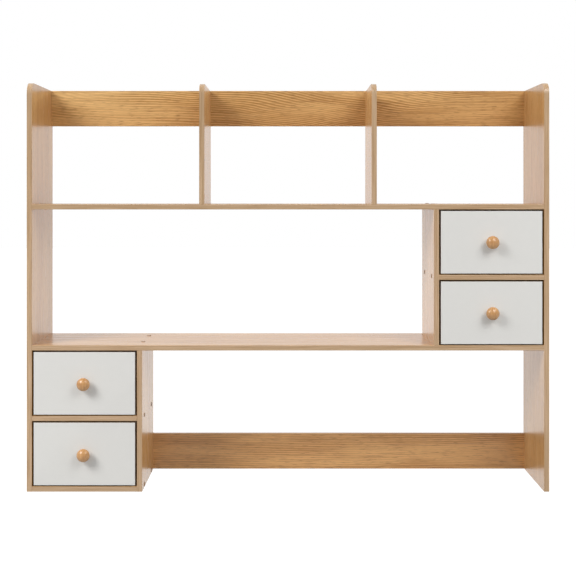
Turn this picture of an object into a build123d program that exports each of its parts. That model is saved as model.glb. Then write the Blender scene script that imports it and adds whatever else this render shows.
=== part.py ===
from build123d import *
from math import asin, atan2, degrees
import os

# Desk hutch: two side panels, two long shelves, three upper cubbies with a rail behind
# them, a pair of drawers under the middle shelf on the left and a pair between the two
# shelves on the right. Origin: middle of the base. +X is the user's right, the drawer
# fronts face -Y and +Z is up. All sizes are in millimetres.

# ---- carcass ---------------------------------------------------------------------
WIDTH = 1200.0              # outside the side panels
HEIGHT = 940.0              # side panels
DEPTH = 240.0               # side panels, long shelves and the right partition
BOARD = 12.0                # thickness of every laminated board
OPENING_HEIGHT = 150.0      # each drawer opening
OPENING_WIDTH = 241.0
RAIL_HEIGHT = 88.0
DIVIDER_DROP = 2.0          # upper dividers stop this far below the side panels
CORNER_RADIUS = 25.0        # top front corner of side panels and dividers
EASED_EDGE = 0.8            # rounding on the long visible edges

# ---- thin panels in grooves --------------------------------------------------------
HARDBOARD = 3.0
GROOVE_DEPTH = 3.5
GROOVE_PLAY = 0.15          # each side of the thin panel
PANEL_PLAY = 0.3            # edge of the thin panel to the bottom of its groove
BACK_BOARD_AT = 219.2       # front plane to the face of the back boards

# ---- fasteners ---------------------------------------------------------------------
SCREW_LENGTH = 35.0
SCREW_SHANK = 4.0
SCREW_HEAD = 8.0
SCREW_HEAD_RIM = 0.4
SCREW_CONE = 2.6            # head height, rim included
SCREW_TIP = 4.0
SCREW_SINK = 0.1            # head below the board's face
RECESS_LENGTH = 4.4
RECESS_WIDTH = 0.9
RECESS_DEPTH = 1.9
FIT_PLAY = 0.05             # radial play round screws, dowels and fittings
END_PLAY = 0.4              # space past the end of a screw or dowel
CAP_DIAMETER = 10.0
CAP_HEIGHT = 1.2
CAP_BEVEL = 0.4
DOWEL_DIAMETER = 6.0
DOWEL_IN_FACE = 8.0
DOWEL_IN_END = 16.0
DOWEL_CHAMFER = 0.6
SCREWS_ACROSS = (48.0, 187.0)     # from the front plane, through upright boards
DOWELS_ACROSS = (84.0, 152.0)
SCREWS_DOWN = (70.0, 187.0)       # from the front plane, through shelves
DOWELS_DOWN = (28.0, 128.0)
RAIL_SCREW_INSET = 22.0           # from the rail's long edges
BASE_SCREW_INSET = 60.0           # from the ends of the bottom panel
CUT_PAST = 1.0                    # cutters run this far out of the faces that they open

# ---- drawers -----------------------------------------------------------------------
FRONT_WIDTH = 233.0
FRONT_HEIGHT = 144.0
FRONT_LIFT = 2.6            # gap under the drawer front
SIDE_HEIGHT = 118.0
RUNNING_PLAY = 0.4          # drawer sides above the board that they slide on
DRAWER_LENGTH = 218.5       # front face to the rear of the box
BOTTOM_LIFT = 8.0           # underside of the sides to the thin bottom
BACK_SCREW_HEIGHTS = (38.0, 92.0)
CAM_HEIGHTS = (30.0, 94.0)
CAM_DIAMETER = 12.0
CAM_DEPTH = 9.0
CAM_SETBACK = 24.0          # joint to the middle of the cam
CAM_CEILING = 2.8           # metal over the bolt's slot
CAM_CROSS = (7.0, 1.3, 1.6)
BOLT_SHANK = 5.0
BOLT_HEAD = 6.0
BOLT_NECK = 3.2
BOLT_HEAD_LENGTH = 2.4
BOLT_NECK_LENGTH = 3.0
BOLT_IN_FRONT = 8.0
BOLT_CHANNEL_PLAY = 0.25

# ---- knobs -------------------------------------------------------------------------
KNOB_LENGTH = 27.0
KNOB_DIAMETER = 30.0
KNOB_WIDEST_AT = 16.5       # from the drawer front
KNOB_UNDERSIDE_AT = 10.0
KNOB_RIM_RADIUS = 7.0       # round the widest part, into the dome
KNOB_NECK_FILLET = 2.0
KNOB_FOOT_RADIUS = 9.0
KNOB_FOOT_RIM = 1.2
KNOB_SCREW_SHANK = 4.0
KNOB_SCREW_HEAD = 9.0
KNOB_SCREW_HEAD_HEIGHT = 2.4
KNOB_SCREW_IN_KNOB = 12.0

# ---- derived places ----------------------------------------------------------------
FRONT = -(DEPTH - KNOB_LENGTH) / 2      # front plane, so that the origin is central
BACK = FRONT + DEPTH
INNER = WIDTH / 2 - BOARD               # inner face of a side panel
STEP = OPENING_HEIGHT + BOARD           # shelf to shelf
MIDDLE_SHELF = 2 * STEP                 # undersides of the boards
RIGHT_SHELF = 3 * STEP
TOP_SHELF = 4 * STEP
INNER_DEPTH = DEPTH - BOARD             # boards that stop at the rails
PARTITION = INNER - OPENING_WIDTH       # partition face on the drawers' side
CUBBY_WIDTH = (2 * INNER - 2 * BOARD) / 3
DIVIDER = (CUBBY_WIDTH + BOARD) / 2     # middle of a divider from the centre line
GROOVE_AT = (FRONT + BACK_BOARD_AT - GROOVE_PLAY, FRONT + BACK_BOARD_AT + HARDBOARD + GROOVE_PLAY)
CENTRE_OF_RAIL = BACK - BOARD / 2


# ---- shapes ------------------------------------------------------------------------
def block(x, y, z):
    """Solid box, from (low, high) limits on each axis."""
    spans = (x, y, z)
    centre = [(low + high) / 2 for low, high in spans]
    size = [high - low for low, high in spans]
    return Pos(*centre) * Box(*size)


def shelf(x, underside, depth):
    """Horizontal board from the front plane back, with eased long edges."""
    board = block(x, (FRONT, FRONT + depth), (underside, underside + BOARD))
    return fillet(board.edges().filter_by(Axis.X), EASED_EDGE)


def upright(left_face, depth, z, rounded=False):
    """Vertical board seen edge on from the front, with an eased front edge."""
    board = block((left_face, left_face + BOARD), (FRONT, FRONT + depth), z)
    if rounded:
        corner = board.edges().filter_by(Axis.X).group_by(Axis.Z)[-1].sort_by(Axis.Y)[0]
        board = fillet(corner, CORNER_RADIUS)
    front = board.faces().sort_by(Axis.Y)[0]
    return fillet(front.edges().filter_by(Axis.Z), EASED_EDGE)


def rail(underside):
    """Back rail between the side panels, flush with their rear edges."""
    board = block((-INNER, INNER), (BACK - BOARD, BACK), (underside, underside + RAIL_HEIGHT))
    return fillet(board.edges().filter_by(Axis.X), EASED_EDGE)


def turned(outline):
    """Solid of revolution about Z from a closed outline of (radius, height)."""
    return revolve(Plane.XZ * make_face(outline), Axis.Z)


def cross_recess(length, width, depth, at):
    """Cross-shaped cutter whose mouth is at the height given, cutting towards +Z."""
    arm = Pos(0, 0, at + depth / 2) * Box(length, width, depth)
    return arm + Rot(0, 0, 90) * arm


def make_screw():
    """Countersunk screw along +Z, with its head just below the face at Z = 0."""
    head = SCREW_HEAD / 2
    shank = SCREW_SHANK / 2
    outline = Polyline(
        (0, SCREW_SINK),
        (head, SCREW_SINK),
        (head, SCREW_SINK + SCREW_HEAD_RIM),
        (shank, SCREW_SINK + SCREW_CONE),
        (shank, SCREW_LENGTH - SCREW_TIP),
        (0, SCREW_LENGTH),
        close=True,
    )
    return turned(outline) - cross_recess(RECESS_LENGTH, RECESS_WIDTH, RECESS_DEPTH, SCREW_SINK)


def make_screw_hole():
    """Cutter for a countersunk screw, a little larger all round and open at Z = 0."""
    head = SCREW_HEAD / 2 + 2 * FIT_PLAY
    shank = SCREW_SHANK / 2 + FIT_PLAY
    outline = Polyline(
        (0, -CUT_PAST),
        (head, -CUT_PAST),
        (head, SCREW_SINK + SCREW_HEAD_RIM),
        (shank, SCREW_SINK + SCREW_CONE + FIT_PLAY),
        (shank, SCREW_LENGTH + END_PLAY),
        (0, SCREW_LENGTH + END_PLAY),
        close=True,
    )
    return turned(outline)


def make_cap():
    """Flat round cover with a bevelled rim, on the face over a screw head, towards -Z."""
    cap = Pos(0, 0, -CAP_HEIGHT / 2) * Cylinder(CAP_DIAMETER / 2, CAP_HEIGHT)
    return chamfer(cap.edges().filter_by(GeomType.CIRCLE).sort_by(Axis.Z)[0], CAP_BEVEL)


def make_dowel():
    """Wooden dowel along Z, with the joint between the two boards at Z = 0."""
    length = DOWEL_IN_FACE + DOWEL_IN_END
    middle = (DOWEL_IN_END - DOWEL_IN_FACE) / 2
    dowel = Pos(0, 0, middle) * Cylinder(DOWEL_DIAMETER / 2, length)
    return chamfer(dowel.edges().filter_by(GeomType.CIRCLE), DOWEL_CHAMFER)


def make_dowel_hole():
    """Cutter for a dowel, a little larger all round."""
    length = DOWEL_IN_FACE + DOWEL_IN_END + 2 * END_PLAY
    middle = (DOWEL_IN_END - DOWEL_IN_FACE) / 2
    return Pos(0, 0, middle) * Cylinder(DOWEL_DIAMETER / 2 + FIT_PLAY, length)


# ---- carcass boards ----------------------------------------------------------------
boards = {
    "left_side_panel": upright(-WIDTH / 2, DEPTH, (0, HEIGHT), rounded=True),
    "right_side_panel": upright(INNER, DEPTH, (0, HEIGHT), rounded=True),
    "top_shelf": shelf((-INNER, INNER), TOP_SHELF, DEPTH),
    "middle_shelf": shelf((-INNER, INNER), MIDDLE_SHELF, DEPTH),
    "left_bottom_panel": shelf((-INNER, -PARTITION), 0, INNER_DEPTH),
    "left_drawer_shelf": shelf((-INNER, -PARTITION), STEP, BACK_BOARD_AT - PANEL_PLAY),
    "right_drawer_shelf": shelf((PARTITION, INNER), RIGHT_SHELF, BACK_BOARD_AT - PANEL_PLAY),
    "left_drawer_partition": upright(-PARTITION, INNER_DEPTH, (0, MIDDLE_SHELF)),
    "right_drawer_partition": upright(PARTITION - BOARD, DEPTH, (MIDDLE_SHELF + BOARD, TOP_SHELF)),
    "top_back_rail": rail(HEIGHT - RAIL_HEIGHT),
    "bottom_back_rail": rail(0),
}
dividers = {"left_upper_divider": -DIVIDER, "right_upper_divider": DIVIDER}
divider_up = (TOP_SHELF + BOARD, HEIGHT - DIVIDER_DROP)
for name, centre in dividers.items():
    boards[name] = upright(centre - BOARD / 2, INNER_DEPTH, divider_up, rounded=True)

undersides = {
    "left_bottom_panel": 0,
    "left_drawer_shelf": STEP,
    "middle_shelf": MIDDLE_SHELF,
    "right_drawer_shelf": RIGHT_SHELF,
    "top_shelf": TOP_SHELF,
}

# ---- back boards and their grooves ---------------------------------------------------
cuts = {name: [] for name in boards}


def groove(name, x, z):
    """Cut a back-board groove in one board."""
    cuts[name].append(block(x, GROOVE_AT, z))


def back_board(x, z):
    """Thin back board that reaches into the grooves on its four sides."""
    reach = GROOVE_DEPTH - PANEL_PLAY
    thickness = (FRONT + BACK_BOARD_AT, FRONT + BACK_BOARD_AT + HARDBOARD)
    return block((x[0] - reach, x[1] + reach), thickness, (z[0] - reach, z[1] + reach))


# clear opening across X, clear opening up Z, then the boards at left, at right, below and above
drawer_units = {
    "left_back_board": (
        (-INNER, -PARTITION),
        (BOARD, MIDDLE_SHELF),
        ("left_side_panel", "left_drawer_partition", "left_bottom_panel", "middle_shelf"),
    ),
    "right_back_board": (
        (PARTITION, INNER),
        (MIDDLE_SHELF + BOARD, TOP_SHELF),
        ("right_drawer_partition", "right_side_panel", "middle_shelf", "top_shelf"),
    ),
}
thin_boards = {}
for name, (across, up, (at_left, at_right, below, above)) in drawer_units.items():
    wide = (across[0] - GROOVE_DEPTH, across[1] + GROOVE_DEPTH)
    tall = (up[0] - GROOVE_DEPTH, up[1] + GROOVE_DEPTH)
    groove(at_left, (wide[0], across[0]), tall)
    groove(at_right, (across[1], wide[1]), tall)
    groove(below, wide, (tall[0], up[0]))
    groove(above, wide, (up[1], tall[1]))
    thin_boards[name] = back_board(across, up)

# ---- screws, caps and dowels -------------------------------------------------------
SCREW = make_screw()
SCREW_HOLE = make_screw_hole()
CAP = make_cap()
DOWEL = make_dowel()
DOWEL_HOLE = make_dowel_hole()
fasteners = {"side_panel_screws": [], "inner_screws": [], "screw_caps": [], "carcass_dowels": []}


def drive_screw(group, start, direction, joined, capped=False):
    """Put a screw through the first of the joined boards into the second."""
    seat = Plane(origin=start, z_dir=direction)
    fasteners[group].append(seat * SCREW)
    for name in joined:
        cuts[name].append(seat * SCREW_HOLE)
    if capped:
        fasteners["screw_caps"].append(seat * CAP)


def fit_dowel(joint, direction, joined):
    """Put a dowel across a joint, from the first board's face into the second's end."""
    seat = Plane(origin=joint, z_dir=direction)
    fasteners["carcass_dowels"].append(seat * DOWEL)
    for name in joined:
        cuts[name].append(seat * DOWEL_HOLE)


def join_across(group, panel, face, inwards, board):
    """Fasten a shelf's end to an upright board, driven from the upright's far face."""
    height = undersides[board] + BOARD / 2
    direction = (inwards, 0, 0)
    for depth in SCREWS_ACROSS:
        drive_screw(group, (face, FRONT + depth, height), direction, (panel, board), capped=True)
    for depth in DOWELS_ACROSS:
        fit_dowel((face + inwards * BOARD, FRONT + depth, height), direction, (panel, board))


def join_down(board, face, upwards, centre, panel, capped=False):
    """Fasten an upright board's end to a shelf, driven from the shelf's far face."""
    direction = (0, 0, upwards)
    for depth in SCREWS_DOWN:
        drive_screw("inner_screws", (centre, FRONT + depth, face), direction, (board, panel), capped)
    for depth in DOWELS_DOWN:
        fit_dowel((centre, FRONT + depth, face + upwards * BOARD), direction, (board, panel))


left_ends = ("left_bottom_panel", "left_drawer_shelf", "middle_shelf", "top_shelf")
right_ends = ("middle_shelf", "right_drawer_shelf", "top_shelf")
for panel, side, ends in (("left_side_panel", -1, left_ends), ("right_side_panel", 1, right_ends)):
    outer_face = side * WIDTH / 2
    for board in ends:
        join_across("side_panel_screws", panel, outer_face, -side, board)
    for name, underside in (("bottom_back_rail", 0), ("top_back_rail", HEIGHT - RAIL_HEIGHT)):
        for inset in (RAIL_SCREW_INSET, RAIL_HEIGHT - RAIL_SCREW_INSET):
            start = (outer_face, CENTRE_OF_RAIL, underside + inset)
            drive_screw("side_panel_screws", start, (-side, 0, 0), (panel, name), capped=True)

partition_face = PARTITION - BOARD
partition_centre = PARTITION - BOARD / 2
join_across("inner_screws", "left_drawer_partition", -partition_face, -1, "left_bottom_panel")
join_across("inner_screws", "left_drawer_partition", -partition_face, -1, "left_drawer_shelf")
join_across("inner_screws", "right_drawer_partition", partition_face, 1, "right_drawer_shelf")

top_face = TOP_SHELF + BOARD
middle_face = MIDDLE_SHELF + BOARD
join_down("middle_shelf", middle_face, -1, -partition_centre, "left_drawer_partition", capped=True)
join_down("top_shelf", top_face, -1, partition_centre, "right_drawer_partition", capped=True)
join_down("middle_shelf", MIDDLE_SHELF, 1, partition_centre, "right_drawer_partition")

for name, centre in dividers.items():
    join_down("top_shelf", TOP_SHELF, 1, centre, name)
    for inset in (RAIL_SCREW_INSET, RAIL_HEIGHT - RAIL_SCREW_INSET):
        start = (centre, BACK, HEIGHT - inset)
        drive_screw("inner_screws", start, (0, -1, 0), ("top_back_rail", name))
for inset in (RAIL_SCREW_INSET, RAIL_HEIGHT - RAIL_SCREW_INSET):
    start = (-partition_centre, BACK, inset)
    drive_screw("inner_screws", start, (0, -1, 0), ("bottom_back_rail", "left_drawer_partition"))
for centre in (-INNER + BASE_SCREW_INSET, -PARTITION - BASE_SCREW_INSET):
    start = (centre, BACK, BOARD / 2)
    drive_screw("inner_screws", start, (0, -1, 0), ("bottom_back_rail", "left_bottom_panel"))


# ---- one drawer, centred on X, with the board that it slides on at Z = 0 ---------------
BOX_FRONT = FRONT + BOARD                   # rear face of the drawer front
BOX_REAR = FRONT + DRAWER_LENGTH
BOX_INNER_REAR = BOX_REAR - BOARD
BOX_INNER = FRONT_WIDTH / 2 - BOARD         # inner face of a drawer side
BOX_BASE = RUNNING_PLAY
BOTTOM_AT = BOX_BASE + BOTTOM_LIFT
KNOB_HEIGHT = FRONT_LIFT + FRONT_HEIGHT / 2


def make_cam():
    """Cam lock along +Z with its face at Z = 0; its slot opens towards +X for the bolt."""
    half_slot = BOLT_HEAD / 2 + BOLT_CHANNEL_PLAY
    cam = Pos(0, 0, CAM_DEPTH / 2) * Cylinder(CAM_DIAMETER / 2, CAM_DEPTH)
    slot_up = (CAM_CEILING, CAM_DEPTH + CUT_PAST)
    slot = block((-half_slot, CAM_DIAMETER), (-half_slot, half_slot), slot_up)
    return cam - slot - cross_recess(*CAM_CROSS, at=0)


def make_cam_bolt():
    """Cam bolt along +Z: threaded end at -Z in the front, head at the cam's middle."""
    shank = BOLT_SHANK / 2
    neck = BOLT_NECK / 2
    head = BOLT_HEAD / 2
    head_end = CAM_SETBACK + BOLT_HEAD_LENGTH / 2
    head_start = head_end - BOLT_HEAD_LENGTH
    neck_start = head_start - BOLT_NECK_LENGTH
    outline = Polyline(
        (0, -BOLT_IN_FRONT),
        (shank, -BOLT_IN_FRONT),
        (shank, neck_start),
        (neck, neck_start),
        (neck, head_start),
        (head, head_start),
        (head, head_end),
        (0, head_end),
        close=True,
    )
    return turned(outline)


def make_knob():
    """Turned knob along +Z from its foot at Z = 0, with a blind hole for its screw."""
    radius = KNOB_DIAMETER / 2
    belly_radius = KNOB_WIDEST_AT - KNOB_UNDERSIDE_AT
    belly_x = radius - belly_radius
    neck_radius = belly_x - KNOB_NECK_FILLET
    neck_top = KNOB_UNDERSIDE_AT - KNOB_NECK_FILLET
    foot_fillet = KNOB_FOOT_RADIUS - neck_radius
    foot_top = KNOB_FOOT_RIM + foot_fillet

    rise = KNOB_LENGTH - KNOB_WIDEST_AT
    rim_x = radius - KNOB_RIM_RADIUS
    dome_radius = (rim_x ** 2 + rise ** 2 - KNOB_RIM_RADIUS ** 2) / (2 * (rise - KNOB_RIM_RADIUS))
    dome_z = KNOB_LENGTH - dome_radius
    turn = degrees(atan2(KNOB_WIDEST_AT - dome_z, rim_x))

    dome = CenterArc((0, dome_z), dome_radius, turn, 90 - turn)
    rim = CenterArc((rim_x, KNOB_WIDEST_AT), KNOB_RIM_RADIUS, 0, turn)
    belly = CenterArc((belly_x, KNOB_WIDEST_AT), belly_radius, 270, 90)
    under = CenterArc((belly_x, neck_top), KNOB_NECK_FILLET, 90, 90)
    neck = Line((neck_radius, foot_top), (neck_radius, neck_top))
    flare = CenterArc((KNOB_FOOT_RADIUS, foot_top), foot_fillet, 180, 90)
    hole_radius = KNOB_SCREW_SHANK / 2 + FIT_PLAY
    hole_depth = KNOB_SCREW_IN_KNOB + END_PLAY
    foot_and_hole = Polyline(
        (KNOB_FOOT_RADIUS, KNOB_FOOT_RIM),
        (KNOB_FOOT_RADIUS, 0),
        (hole_radius, 0),
        (hole_radius, hole_depth),
        (0, hole_depth),
        (0, KNOB_LENGTH),
    )
    return turned(dome + rim + belly + under + neck + flare + foot_and_hole)


def make_knob_screw():
    """Machine screw along +Z, whose pan head bears on the face at Z = 0."""
    length = BOARD + KNOB_SCREW_IN_KNOB
    height = KNOB_SCREW_HEAD_HEIGHT
    shank = Pos(0, 0, length / 2) * Cylinder(KNOB_SCREW_SHANK / 2, length)
    head = Pos(0, 0, -height / 2) * Cylinder(KNOB_SCREW_HEAD / 2, height)
    head = fillet(head.edges().filter_by(GeomType.CIRCLE).sort_by(Axis.Z)[0], height / 2)
    recess = cross_recess(RECESS_LENGTH, RECESS_WIDTH, RECESS_DEPTH, -height)
    return head + shank - recess


def make_fitting_holes():
    """Cutters for a cam, its bolt's channel and the bolt's thread, each at its own origin."""
    pocket_radius = CAM_DIAMETER / 2 + FIT_PLAY
    pocket = Pos(0, 0, CAM_DEPTH / 2) * Cylinder(pocket_radius, CAM_DEPTH + 2 * FIT_PLAY)
    channel_length = CAM_SETBACK + BOLT_HEAD
    channel_radius = BOLT_HEAD / 2 + BOLT_CHANNEL_PLAY
    channel = Pos(0, 0, channel_length / 2) * Cylinder(channel_radius, channel_length)
    thread_length = BOLT_IN_FRONT + 2 * END_PLAY
    thread = Pos(0, 0, -BOLT_IN_FRONT / 2) * Cylinder(BOLT_SHANK / 2 + FIT_PLAY, thread_length)
    return pocket, channel, thread


def make_drawer():
    """Every piece of one drawer, as a table of name and shape."""
    half = FRONT_WIDTH / 2
    box_up = (BOX_BASE, BOX_BASE + SIDE_HEIGHT)
    front = block((-half, half), (FRONT, BOX_FRONT), (FRONT_LIFT, FRONT_LIFT + FRONT_HEIGHT))
    front = fillet(front.faces().sort_by(Axis.Y)[0].edges(), EASED_EDGE)
    rear = block((-BOX_INNER, BOX_INNER), (BOX_INNER_REAR, BOX_REAR), box_up)
    rear = fillet(rear.edges().filter_by(Axis.X).group_by(Axis.Z)[-1], EASED_EDGE)

    groove_z = (BOTTOM_AT - GROOVE_PLAY, BOTTOM_AT + HARDBOARD + GROOVE_PLAY)
    groove_x = BOX_INNER + GROOVE_DEPTH
    groove_y = (BOX_FRONT - GROOVE_DEPTH, BOX_INNER_REAR + GROOVE_DEPTH)
    bottom_groove = block((-groove_x, groove_x), groove_y, groove_z)
    bottom_x = groove_x - PANEL_PLAY
    bottom_y = (groove_y[0] + PANEL_PLAY, groove_y[1] - PANEL_PLAY)
    bottom = block((-bottom_x, bottom_x), bottom_y, (BOTTOM_AT, BOTTOM_AT + HARDBOARD))

    knob_seat = Plane(origin=(0, FRONT, KNOB_HEIGHT), z_dir=(0, -1, 0))
    screw_seat = Plane(origin=(0, BOX_FRONT, KNOB_HEIGHT), z_dir=(0, -1, 0))
    hole_length = 2 * (BOARD + CUT_PAST)
    knob_hole = screw_seat * Cylinder(KNOB_SCREW_SHANK / 2 + FIT_PLAY, hole_length)
    front = front - [bottom_groove, knob_hole]
    rear = rear - bottom_groove

    pieces = {
        "bottom": bottom,
        "knob": knob_seat * make_knob(),
        "knob_screw": screw_seat * make_knob_screw(),
    }
    cam = make_cam()
    bolt = make_cam_bolt()
    screws = []
    cams = []
    bolts = []
    cam_pocket, channel, thread = make_fitting_holes()
    for name, side in (("left_side", -1), ("right_side", 1)):
        limits = sorted((side * BOX_INNER, side * half))
        panel = block(limits, (BOX_FRONT, BOX_REAR), box_up)
        panel = fillet(panel.edges().filter_by(Axis.Y).group_by(Axis.Z)[-1], EASED_EDGE)
        panel = panel - bottom_groove
        for height in CAM_HEIGHTS:
            face = (side * BOX_INNER, BOX_FRONT + CAM_SETBACK, BOX_BASE + height)
            cam_seat = Plane(origin=face, x_dir=(0, -1, 0), z_dir=(side, 0, 0))
            joint = (side * (BOX_INNER + BOARD / 2), BOX_FRONT, BOX_BASE + height)
            bolt_seat = Plane(origin=joint, z_dir=(0, 1, 0))
            cams.append(cam_seat * cam)
            bolts.append(bolt_seat * bolt)
            panel = panel - [cam_seat * cam_pocket, bolt_seat * channel]
            front = front - bolt_seat * thread
        for height in BACK_SCREW_HEIGHTS:
            start = (side * half, BOX_REAR - BOARD / 2, BOX_BASE + height)
            seat = Plane(origin=start, z_dir=(-side, 0, 0))
            screws.append(seat * SCREW)
            panel = panel - seat * SCREW_HOLE
            rear = rear - seat * SCREW_HOLE
        pieces[name] = panel
    pieces["front"] = front
    pieces["back"] = rear
    pieces["cam_locks"] = Compound(cams)
    pieces["cam_bolts"] = Compound(bolts)
    pieces["back_screws"] = Compound(screws)
    return pieces


# ---- write one file for each node ------------------------------------------------------
os.makedirs("parts", exist_ok=True)

for name, board in boards.items():
    export_step(board - cuts[name], f"parts/{name}.step")
for name, board in thin_boards.items():
    export_step(board, f"parts/{name}.step")
for name, solids in fasteners.items():
    export_step(Compound(solids), f"parts/{name}.step")

opening_centre = INNER - OPENING_WIDTH / 2
drawer_places = {
    "left_lower": (-opening_centre, BOARD),
    "left_upper": (-opening_centre, STEP + BOARD),
    "right_lower": (opening_centre, MIDDLE_SHELF + BOARD),
    "right_upper": (opening_centre, RIGHT_SHELF + BOARD),
}
drawer = make_drawer()
for place, (x, z) in drawer_places.items():
    for piece, shape in drawer.items():
        export_step(Pos(x, 0, z) * shape, f"parts/{place}_drawer_{piece}.step")
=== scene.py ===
import math

import bpy
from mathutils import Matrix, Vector


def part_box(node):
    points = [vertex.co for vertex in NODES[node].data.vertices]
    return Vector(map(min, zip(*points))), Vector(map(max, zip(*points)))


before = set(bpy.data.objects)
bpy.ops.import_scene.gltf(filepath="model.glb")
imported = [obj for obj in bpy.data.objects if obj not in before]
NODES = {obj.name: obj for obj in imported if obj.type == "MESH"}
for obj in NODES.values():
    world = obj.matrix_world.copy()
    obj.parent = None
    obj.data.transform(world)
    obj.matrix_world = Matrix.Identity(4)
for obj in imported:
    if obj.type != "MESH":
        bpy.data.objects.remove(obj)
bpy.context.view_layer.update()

# Looks for the desk hutch. Everything is in metres in the part's own frame: +X to the
# user's right, the drawer fronts face -Y, +Z up, and the floor is at Z = 0.

SCENE = bpy.context.scene

# ---- place, from the frame -----------------------------------------------------------
FRONT_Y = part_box("left_side_panel")[0].y    # front plane of the carcass

# ---- camera and light ---------------------------------------------------------------
CAMERA_DISTANCE = 2.718                # in front of the front plane
CAMERA_HEIGHT = 0.6835
LENS_MM = 74.0
SENSOR_MM = 36.0
SHIFT_Y = -0.1632
VIEW_END = 100.0                       # how far the camera sees
WHITE = (1.0, 1.0, 1.0, 1.0)
BACK_FILL = 0.50                       # diffuse light from the white backdrop behind the hutch
FRONT_FILL = 0.44                      # diffuse light from the room in front of it
FRONT_GLOSS = 0.20                     # how bright that room is in reflections
ROOM_ENDS, BACKDROP_STARTS = -0.25, 0.05    # Y of the direction looked in
FLOOR_REACH = 12.0
FLOOR_GLOW = 1.0                       # makes the floor look as white as the backdrop
FLOOR_GREYS = ((0.15, 0.15, 0.15), (0.16, 0.16, 0.16))
FLOOR_ROUGHNESS = 0.9
LIGHT_SIZE = 1.6                       # metres square
LIGHT_SPREAD = math.radians(85)        # narrowed, as a grid on a soft box does
# Each soft box stands in front of its own end of the hutch and is aimed past that end.
LEFT_LIGHT = (-2.75, FRONT_Y - 2.2, 2.6)
LEFT_AIM = (-1.2, FRONT_Y, 0.2)
RIGHT_LIGHT = (1.70, FRONT_Y - 1.8, 2.2)
RIGHT_AIM = (1.0, FRONT_Y, 0.3)
LEFT_WATTS = 27.5
RIGHT_WATTS = 12.2


# ---- node helpers --------------------------------------------------------------------
class Graph:
    """Short calls for building one material's nodes."""

    def __init__(self, name):
        self.material = bpy.data.materials.new(name)
        self.material.use_nodes = True
        self.tree = self.material.node_tree
        self.tree.nodes.clear()
        output = self.add("ShaderNodeOutputMaterial")
        self.shader = self.add("ShaderNodeBsdfPrincipled")
        self.join(self.shader.outputs["BSDF"], output.inputs["Surface"])

    def add(self, kind, **settings):
        node = self.tree.nodes.new(kind)
        for key, value in settings.items():
            setattr(node, key, value)
        return node

    def join(self, source, target):
        self.tree.links.new(source, target)

    def set(self, socket, value):
        """Give a socket a link, a number or a colour."""
        if isinstance(value, bpy.types.NodeSocket):
            self.join(value, socket)
        elif isinstance(value, (tuple, list)) and len(value) == 3 and socket.type == "RGBA":
            socket.default_value = (*value, 1.0)
        else:
            socket.default_value = value

    def math(self, operation, a, b=0.0):
        node = self.add("ShaderNodeMath", operation=operation)
        self.set(node.inputs[0], a)
        self.set(node.inputs[1], b)
        return node.outputs[0]

    def place(self):
        """Object coordinates, which stay with a part as it moves."""
        return self.add("ShaderNodeTexCoord").outputs["Object"]

    def times(self, value, factor):
        return self.math("MULTIPLY", value, factor)

    def split(self, vector):
        node = self.add("ShaderNodeSeparateXYZ")
        self.set(node.inputs[0], vector)
        return node.outputs

    def merge(self, x, y, z):
        node = self.add("ShaderNodeCombineXYZ")
        for socket, value in zip(node.inputs, (x, y, z)):
            self.set(socket, value)
        return node.outputs[0]

    def noise(self, vector, scale, detail, roughness, distortion=0.0):
        node = self.add("ShaderNodeTexNoise")
        self.set(node.inputs["Vector"], vector)
        node.inputs["Scale"].default_value = scale
        node.inputs["Detail"].default_value = detail
        node.inputs["Roughness"].default_value = roughness
        node.inputs["Distortion"].default_value = distortion
        return node.outputs["Fac"]

    def ramp(self, value, low, high, out_low=0.0, out_high=1.0):
        node = self.add("ShaderNodeMapRange", interpolation_type="SMOOTHSTEP")
        self.set(node.inputs["Value"], value)
        self.set(node.inputs["From Min"], low)
        self.set(node.inputs["From Max"], high)
        self.set(node.inputs["To Min"], out_low)
        self.set(node.inputs["To Max"], out_high)
        return node.outputs["Result"]

    def mix(self, share, a, b, blend="MIX"):
        node = self.add("ShaderNodeMix", data_type="RGBA", blend_type=blend)
        self.set(node.inputs[0], share)
        self.set(node.inputs[6], a)
        self.set(node.inputs[7], b)
        return node.outputs[2]

    def layer(self, base, color, value, low, high, most=1.0):
        """Lay a colour over the base where a value rises from low to high."""
        return self.mix(self.ramp(value, low, high, 0.0, most), base, color)

    def bump(self, height, distance, strength):
        node = self.add("ShaderNodeBump")
        self.set(node.inputs["Height"], height)
        node.inputs["Distance"].default_value = distance
        node.inputs["Strength"].default_value = strength
        self.join(node.outputs["Normal"], self.shader.inputs["Normal"])

    def finish(self, color, roughness, **fixed):
        self.set(self.shader.inputs["Base Color"], color)
        self.set(self.shader.inputs["Roughness"], roughness)
        for key, value in fixed.items():
            self.shader.inputs[key.replace("_", " ")].default_value = value
        return self.material


def linear(red, green, blue):
    """Linear colour from 0-255 display values, by the sRGB curve."""
    values = []
    for value in (red, green, blue):
        share = value / 255
        values.append(share / 12.92 if share <= 0.04045 else ((share + 0.055) / 1.055) ** 2.4)
    return tuple(values)


# ---- materials -----------------------------------------------------------------------
OAK_LIGHT = linear(231, 185, 126)
OAK_MID = linear(177, 127, 70)
OAK_STREAK = linear(160, 110, 58)
OAK_PORE = linear(108, 68, 34)
OAK_MEAN = linear(200, 153, 98)        # the whole figure averaged
BAND_LIGHT = linear(209, 177, 142)
BAND_DARK = linear(169, 134, 94)
LINES_PER_METRE = 215.0                # growth lines across the board
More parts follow.
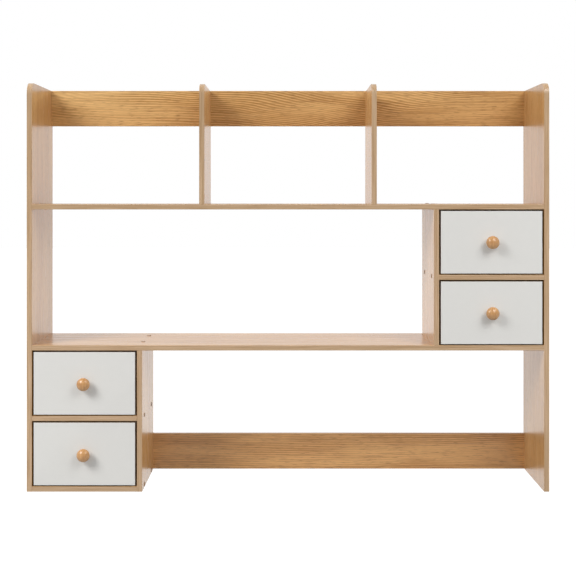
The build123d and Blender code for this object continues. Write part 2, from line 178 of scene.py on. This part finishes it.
# Each rail's colour is multiplied by its tint, and the top rail is paler by a share towards its
# left end and its top edge. Both are matched to how the rails look in the photo. Each tint is
# partly the board's own tone and partly painted shade: the top rail darker and yellower, the
# bottom rail redder and less blue, as warm shade. The top rail's paler share is painted light.
TOP_RAIL_TONE_AND_PAINTED_SHADE = (0.90, 0.85, 0.75)
BOTTOM_RAIL_TONE_AND_PAINTED_SHADE = (1.06, 0.99, 0.90)
TOP_RAIL_SLOPE = 0.07                  # the growth lines cross the board as they run
BOTTOM_RAIL_WANDER = 6.0               # nearly straight growth lines
# painted light on the top rail: how much paler its colour is at the left end and along the top edge
PAINTED_LIGHT_AT_LEFT, PAINTED_LIGHT_AT_TOP = 0.18, 0.16
PAINTED_LIGHT_FROM, PAINTED_LIGHT_TO = -0.5, 0.1       # X where the painted light at the left end starts to fade and is gone
GREEN_POWER, BLUE_POWER = 1.5, 2.0     # the painted light lifts green and blue more than red
PLAIN_SHARE = 0.25                     # calmer figure on the uprights and shelves
FIGURE_STEP, SLICE_STEP = 1.37, 2.11   # each seed moves the figure across and to a new slice
BROAD_FACE = 0.7                       # least part of a normal along the axis of a broad face
OAK_BUMP = (0.00012, 0.10)             # height and strength of the pressed grain
OAK_ROUGHNESS = (0.25, 0.28)
OAK_COAT, OAK_COAT_ROUGHNESS = 0.12, 0.2
BEECH_COAT_ROUGHNESS = 0.16
METAL_DARKER = 0.72                    # the blotches' share of the metal's colour
METAL_ROUGHER = 0.15                   # and what they add to its roughness
# Numbers of the axes: along the grain, then the two across it.
AXES = {"X": (0, 2, 1), "Z": (2, 0, 1), "Y": (1, 0, 2)}


def on_sides(graph, faces):
    """1 on a board's narrow sides, 0 on the two broad faces that look along one axis."""
    normal = graph.split(graph.add("ShaderNodeNewGeometry").outputs["True Normal"])
    outwards = graph.math("ABSOLUTE", normal["XYZ".index(faces)])
    return graph.math("LESS_THAN", outwards, BROAD_FACE)


def oak(name, along, faces, seed, slope=0.0, wander=22.0, plain=0.0, tint=(1.0, 1.0, 1.0),
        painted_light=None):
    """Oak-look laminate with its grain along one axis, and a paler band on the narrow sides.

    faces is the axis that the broad faces look along. slope is how far the growth lines cross
    the board for each metre along it, and wander how far they stray, in lines. plain is the
    share of the average colour laid over the figure. painted_light is painted light on a rail:
    (share at the left end, share at the top, lowest z, highest z) by which its colour is paler.
    """
    graph = Graph(name)
    parts = graph.split(graph.place())
    order = AXES[along]
    u = parts[order[0]]
    v = graph.math("ADD", parts[order[1]], parts[order[2]])
    v = graph.math("ADD", v, FIGURE_STEP * seed)

    def stretched(length, width, shift=0.0):
        """Place with so many features per metre along and across the grain."""
        return graph.merge(graph.times(u, length), graph.times(v, width), SLICE_STEP * seed + shift)

    # growth lines, darkest just before each ends, and strong and weak by turns
    drift = graph.times(graph.noise(stretched(1.5, 5.0), 1.0, 2.0, 0.45), wander)
    lines = graph.math("ADD", graph.times(v, LINES_PER_METRE), drift)
    lines = graph.math("ADD", lines, graph.times(u, slope * LINES_PER_METRE))
    phase = graph.math("FRACT", lines)
    falling = graph.ramp(phase, 0.85, 1.0, 1.0, 0.0)
    line = graph.math("MULTIPLY", graph.ramp(phase, 0.0, 0.75), falling)
    patches = graph.noise(stretched(3.0, 26.0, 3.0), 1.0, 2.0, 0.5)
    strength = graph.ramp(patches, 0.35, 0.65, 0.30, 1.0)
    streak = graph.noise(stretched(7.0, 230.0), 1.0, 3.0, 0.6)
    pores = graph.noise(stretched(42.0, 800.0), 1.0, 1.0, 0.5)
    cloud = graph.noise(stretched(2.4, 9.0, 5.0), 1.0, 2.0, 0.5)

    face = graph.mix(graph.math("MULTIPLY", line, strength), OAK_LIGHT, OAK_MID)
    face = graph.layer(face, OAK_STREAK, streak, 0.46, 0.72, 0.55)
    face = graph.layer(face, OAK_PORE, pores, 0.58, 0.70, 0.55)
    face = graph.layer(face, OAK_MID, cloud, 0.3, 0.7, 0.22)
    face = graph.mix(plain, face, OAK_MEAN)
    # the tint is the board's own tone, and on the two back rails also painted shade
    face = graph.mix(1.0, face, tint, "MULTIPLY")
    # painted light: the rail's colour is made paler towards its left end and its top edge, more in
    # green and blue than in red
    if painted_light:
        at_left, at_top, low, high = painted_light
        left = graph.ramp(u, PAINTED_LIGHT_FROM, PAINTED_LIGHT_TO, at_left, 0.0)
        painted_lift = graph.math("ADD", left, graph.ramp(parts[2], low, high, 0.0, at_top))
        painted_lift = graph.math("ADD", painted_lift, 1.0)
        green = graph.math("POWER", painted_lift, GREEN_POWER)
        painted_color_lift = graph.merge(painted_lift, green, graph.math("POWER", painted_lift, BLUE_POWER))
        face = graph.mix(1.0, face, painted_color_lift, "MULTIPLY")

    fine = graph.noise(stretched(9.0, 520.0), 1.0, 3.0, 0.6)
    broad = graph.noise(stretched(3.0, 120.0, 8.0), 1.0, 1.0, 0.5)
    band = graph.layer(BAND_LIGHT, BAND_DARK, fine, 0.35, 0.70, 0.75)
    band = graph.layer(band, BAND_DARK, broad, 0.40, 0.70, 0.35)

    color = graph.mix(on_sides(graph, faces), face, band)
    height = graph.math("ADD", graph.times(pores, 0.6), graph.times(streak, 0.4))
    graph.bump(height, *OAK_BUMP)
    rough = graph.ramp(streak, 0.3, 0.8, *OAK_ROUGHNESS)
    return graph.finish(
        color, rough, Coat_Weight=OAK_COAT, Coat_Roughness=OAK_COAT_ROUGHNESS
    )


def white_laminate():
    """Off-white foil on the broad faces of the drawer fronts, with a dark brown core."""
    graph = Graph("white_laminate")
    place = graph.place()
    mottle = graph.noise(place, 60.0, 4.0, 0.6)
    fine = graph.noise(place, 900.0, 2.0, 0.5)
    face = graph.layer(linear(230, 229, 225), linear(231, 230, 226), mottle, 0.3, 0.7)
    core = graph.layer(linear(138, 114, 90), linear(162, 138, 112), fine, 0.3, 0.7)
    graph.bump(fine, 0.00004, 0.2)
    rough = graph.ramp(mottle, 0.3, 0.7, 0.36, 0.40)
    return graph.finish(graph.mix(on_sides(graph, "Y"), face, core), rough)


def hardboard():
    """Brown hardboard: smooth pressed face with fine fibres."""
    graph = Graph("hardboard")
    place = graph.place()
    fibre = graph.noise(place, 380.0, 4.0, 0.7, 0.6)
    cloud = graph.noise(place, 14.0, 3.0, 0.5)
    color = graph.layer(linear(134, 98, 66), linear(158, 120, 84), fibre, 0.3, 0.7)
    color = graph.layer(color, linear(120, 84, 54), cloud, 0.35, 0.7, 0.35)
    graph.bump(fibre, 0.0001, 0.4)
    return graph.finish(color, graph.ramp(fibre, 0.3, 0.8, 0.5, 0.62))


def beech(name, light, dark, roughness, coat):
    """Turned beech with short flecks along Y, the knobs' turning axis."""
    graph = Graph(name)
    x, y, z = graph.split(graph.place())
    stretch = graph.merge(graph.times(x, 260.0), graph.times(y, 30.0), graph.times(z, 90.0))
    grain = graph.noise(stretch, 1.0, 3.0, 0.55, 0.4)
    fleck = graph.noise(stretch, 4.0, 1.0, 0.5)
    color = graph.layer(light, dark, grain, 0.3, 0.7)
    color = graph.layer(color, linear(140, 88, 48), fleck, 0.62, 0.75, 0.5)
    graph.bump(grain, 0.00008, 0.3)
    return graph.finish(color, roughness, Coat_Weight=coat, Coat_Roughness=BEECH_COAT_ROUGHNESS)


def metal(name, color, roughness):
    """Plated metal with light scratches and blotches."""
    graph = Graph(name)
    place = graph.place()
    blotch = graph.noise(place, 700.0, 3.0, 0.6)
    scratch = graph.noise(place, 4000.0, 1.0, 0.5, 1.0)
    darker = tuple(channel * METAL_DARKER for channel in color)
    tint = graph.layer(color, darker, blotch, 0.3, 0.7)
    graph.bump(scratch, 0.00003, 0.3)
    rough = graph.ramp(blotch, 0.3, 0.7, roughness, roughness + METAL_ROUGHER)
    return graph.finish(tint, rough, Metallic=1.0)


def cap_plastic():
    """Moulded brown-grey screw cap."""
    graph = Graph("cap_plastic")
    place = graph.place()
    speck = graph.noise(place, 1500.0, 2.0, 0.6)
    color = graph.layer(linear(164, 138, 114), linear(178, 150, 126), speck, 0.3, 0.7)
    graph.bump(speck, 0.00004, 0.3)
    return graph.finish(color, graph.ramp(speck, 0.3, 0.7, 0.28, 0.36))


def paint(node, material):
    """Give every face of a CAD node one material."""
    mesh = NODES[node].data
    mesh.materials.clear()
    mesh.materials.append(material)
    for polygon in mesh.polygons:
        polygon.material_index = 0


def dress_carcass():
    """Oak on every carcass board: grain up the uprights and along the shelves and rails."""
    uprights = ("side_panel", "upper_divider", "drawer_partition")
    shelves = (
        "top_shelf", "middle_shelf", "left_drawer_shelf", "right_drawer_shelf",
        "left_bottom_panel",
    )
    nodes = [f"{side}_{board}" for board in uprights for side in ("left", "right")]
    for seed, node in enumerate(nodes, 1):
        paint(node, oak(f"oak_{node}", "Z", "X", seed, plain=PLAIN_SHARE))
    for seed, node in enumerate(shelves, 10):
        paint(node, oak(f"oak_{node}", "X", "Z", seed, plain=PLAIN_SHARE))
    low, high = (corner.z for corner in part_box("top_back_rail"))
    # painted shade in both rails' tints, and painted light at the top rail's left end and top edge
    top_rail = oak(
        "oak_top_back_rail", "X", "Y", 20, slope=TOP_RAIL_SLOPE, tint=TOP_RAIL_TONE_AND_PAINTED_SHADE,
        painted_light=(PAINTED_LIGHT_AT_LEFT, PAINTED_LIGHT_AT_TOP, low, high),
    )
    bottom_rail = oak(
        "oak_bottom_back_rail", "X", "Y", 21, wander=BOTTOM_RAIL_WANDER, tint=BOTTOM_RAIL_TONE_AND_PAINTED_SHADE
    )
    paint("top_back_rail", top_rail)
    paint("bottom_back_rail", bottom_rail)


def dress_drawers(shared):
    """The same finishes on all four drawers."""
    finishes = {
        "front": "white_laminate", "bottom": "hardboard", "knob": "knob_beech",
        "knob_screw": "steel", "cam_locks": "zinc", "cam_bolts": "zinc", "back_screws": "steel",
    }
    side_oak = oak("oak_drawer_sides", "Y", "X", 30)
    back_oak = oak("oak_drawer_backs", "X", "Y", 31)
    for place in ("left_lower", "left_upper", "right_lower", "right_upper"):
        drawer = f"{place}_drawer_"
        for piece, finish in finishes.items():
            paint(drawer + piece, shared[finish])
        paint(drawer + "left_side", side_oak)
        paint(drawer + "right_side", side_oak)
        paint(drawer + "back", back_oak)


def make_stage():
    """White floor that reaches far behind the hutch.

    It glows to the camera and in reflections, but not to diffuse rays, which find it grey.
    """
    mesh = bpy.data.meshes.new("floor")
    reach = FLOOR_REACH
    corners = [(-reach, -reach, 0), (reach, -reach, 0), (reach, reach, 0), (-reach, reach, 0)]
    mesh.from_pydata(corners, [], [(0, 1, 2, 3)])
    floor = bpy.data.objects.new("floor", mesh)
    SCENE.collection.objects.link(floor)
    graph = Graph("floor_white")
    cloud = graph.noise(graph.place(), 3.0, 2.0, 0.5)
    color = graph.layer(*FLOOR_GREYS, cloud, 0.2, 0.8)
    path = graph.add("ShaderNodeLightPath")
    glow = graph.math("SUBTRACT", 1.0, path.outputs["Is Diffuse Ray"])
    graph.join(graph.times(glow, FLOOR_GLOW), graph.shader.inputs["Emission Strength"])
    mesh.materials.append(graph.finish(color, FLOOR_ROUGHNESS, Emission_Color=WHITE))


def area_light(name, place, target, watts):
    light = bpy.data.lights.new(name, "AREA")
    light.size = LIGHT_SIZE
    light.spread = LIGHT_SPREAD
    light.energy = watts
    lamp = bpy.data.objects.new(name, light)
    lamp.location = place
    lamp.rotation_euler = (Vector(target) - Vector(place)).to_track_quat("-Z", "Y").to_euler()
    SCENE.collection.objects.link(lamp)


def make_lights():
    area_light("left_soft_box", LEFT_LIGHT, LEFT_AIM, LEFT_WATTS)
    area_light("right_soft_box", RIGHT_LIGHT, RIGHT_AIM, RIGHT_WATTS)


def make_world():
    """White backdrop behind the hutch and a dimmer room in front of it.

    Diffuse light and reflections see the room at different strengths, and the camera sees
    plain white all round.
    """
    world = bpy.data.worlds.new("white_room")
    world.use_nodes = True
    tree = world.node_tree
    tree.nodes.clear()
    output = tree.nodes.new("ShaderNodeOutputWorld")
    background = tree.nodes.new("ShaderNodeBackground")
    background.inputs["Color"].default_value = WHITE
    path = tree.nodes.new("ShaderNodeLightPath")
    direction = tree.nodes.new("ShaderNodeTexCoord")
    parts = tree.nodes.new("ShaderNodeSeparateXYZ")
    tree.links.new(direction.outputs["Generated"], parts.inputs[0])

    def front_to_back(in_front, behind):
        node = tree.nodes.new("ShaderNodeMapRange")
        node.inputs["From Min"].default_value = ROOM_ENDS
        node.inputs["From Max"].default_value = BACKDROP_STARTS
        node.inputs["To Min"].default_value = in_front
        node.inputs["To Max"].default_value = behind
        tree.links.new(parts.outputs["Y"], node.inputs["Value"])
        return node.outputs["Result"]

    chosen = tree.nodes.new("ShaderNodeMix")
    tree.links.new(path.outputs["Is Diffuse Ray"], chosen.inputs["Factor"])
    tree.links.new(front_to_back(FRONT_GLOSS, 1.0), chosen.inputs["A"])
    tree.links.new(front_to_back(FRONT_FILL, BACK_FILL), chosen.inputs["B"])
    strength = tree.nodes.new("ShaderNodeMath")
    strength.operation = "MAXIMUM"
    tree.links.new(chosen.outputs["Result"], strength.inputs[0])
    tree.links.new(path.outputs["Is Camera Ray"], strength.inputs[1])
    tree.links.new(strength.outputs[0], background.inputs["Strength"])
    tree.links.new(background.outputs[0], output.inputs["Surface"])
    SCENE.world = world


def make_camera():
    data = bpy.data.cameras.new("camera")
    data.lens = LENS_MM
    data.sensor_width = SENSOR_MM
    data.shift_y = SHIFT_Y
    data.clip_end = VIEW_END
    camera = bpy.data.objects.new("camera", data)
    camera.location = (0.0, FRONT_Y - CAMERA_DISTANCE, CAMERA_HEIGHT)
    camera.rotation_euler = (math.radians(90), 0.0, 0.0)
    SCENE.collection.objects.link(camera)
    SCENE.camera = camera


SCENE.view_settings.view_transform = "Standard"
make_camera()
make_lights()
make_world()
make_stage()

shared = {
    "white_laminate": white_laminate(),
    "hardboard": hardboard(),
    "knob_beech": beech("knob_beech", linear(213, 162, 104), linear(189, 135, 80), 0.42, 0.6),
    "dowel_beech": beech("dowel_beech", linear(222, 188, 140), linear(204, 166, 118), 0.6, 0.0),
    "steel": metal("screw_steel", (0.62, 0.60, 0.57), 0.30),
    "zinc": metal("zinc_fitting", (0.66, 0.66, 0.65), 0.38),
    "cap_plastic": cap_plastic(),
}
dress_carcass()
dress_drawers(shared)
for node in ("left_back_board", "right_back_board"):
    paint(node, shared["hardboard"])
for node in ("side_panel_screws", "inner_screws"):
    paint(node, shared["steel"])
paint("screw_caps", shared["cap_plastic"])
paint("carcass_dowels", shared["dowel_beech"])
